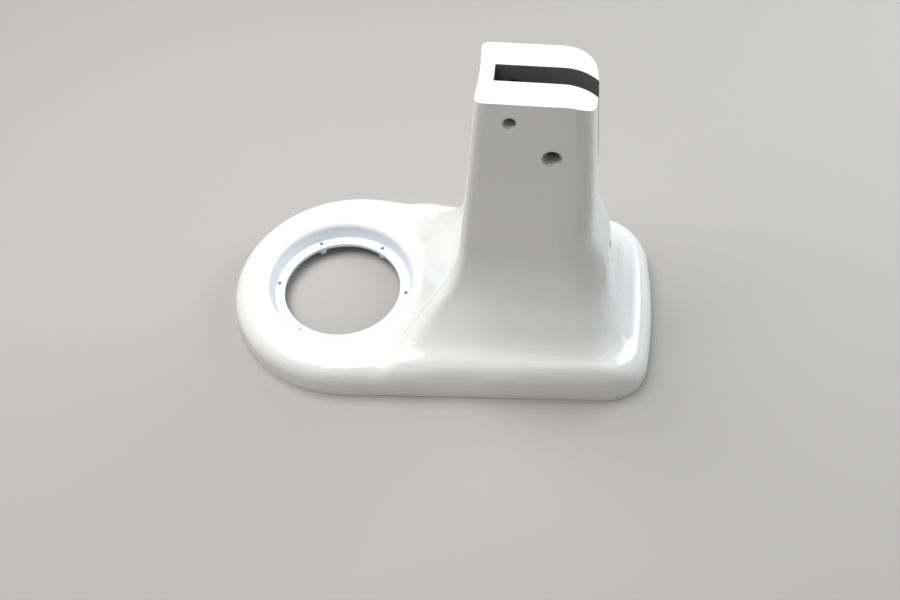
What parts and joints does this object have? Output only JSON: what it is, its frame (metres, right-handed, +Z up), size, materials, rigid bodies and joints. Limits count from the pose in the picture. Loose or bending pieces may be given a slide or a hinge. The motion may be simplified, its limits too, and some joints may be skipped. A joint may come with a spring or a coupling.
{
  "type": "stand mixer base housing",
  "caption": "Moulded plastic base and column housing of a tilt-head stand mixer, with a round bowl seat, a hinge slot and cross bores for its pins.",
  "frame": {"origin": "under the middle of the base, on the surface that it stands on", "axes": "+X from the bowl end to the rear, +Z up the column"},
  "size_m": [0.341, 0.1919, 0.2473],
  "materials": {
    "housing": "gloss white, as moulded"
  },
  "bodies": {
    "root": {"mixer_base_housing": "housing"}
  },
  "joints": []
}
